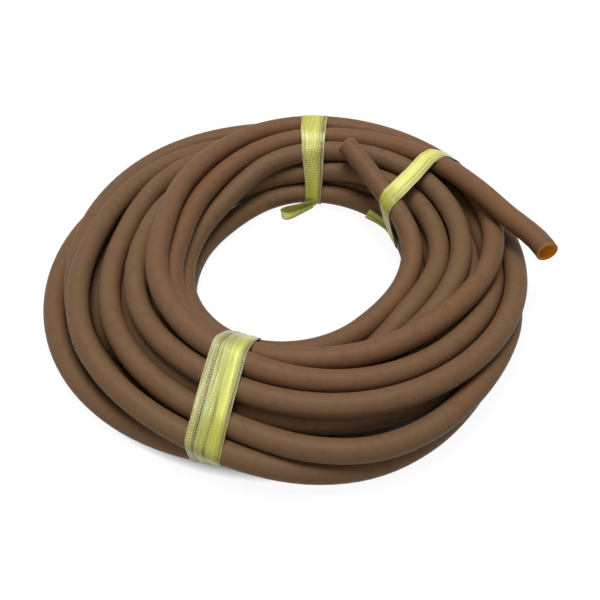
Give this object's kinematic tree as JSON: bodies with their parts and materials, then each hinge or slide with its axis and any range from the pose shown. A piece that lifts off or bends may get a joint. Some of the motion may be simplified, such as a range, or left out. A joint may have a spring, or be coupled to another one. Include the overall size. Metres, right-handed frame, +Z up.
{
  "type": "rubber tubing coil",
  "caption": "Long hollow rubber tube laid in loose overlapping turns as a flat round coil, held by plastic tape ties, with both cut ends open.",
  "frame": {"origin": "under the middle of the coil's outline, on the surface that it lies on", "axes": "+Z up along the coil's axis, +X towards the side with the loose outer end, +Y towards the back tie"},
  "size_m": [0.3728, 0.3568, 0.0636],
  "materials": {
    "rubber": "matt, slightly translucent amber rubber",
    "tape": "thin translucent pleated film"
  },
  "bodies": {
    "root": {"tubing": "rubber", "front_tie": "tape", "back_tie": "tape", "right_tie": "tape"}
  },
  "joints": []
}
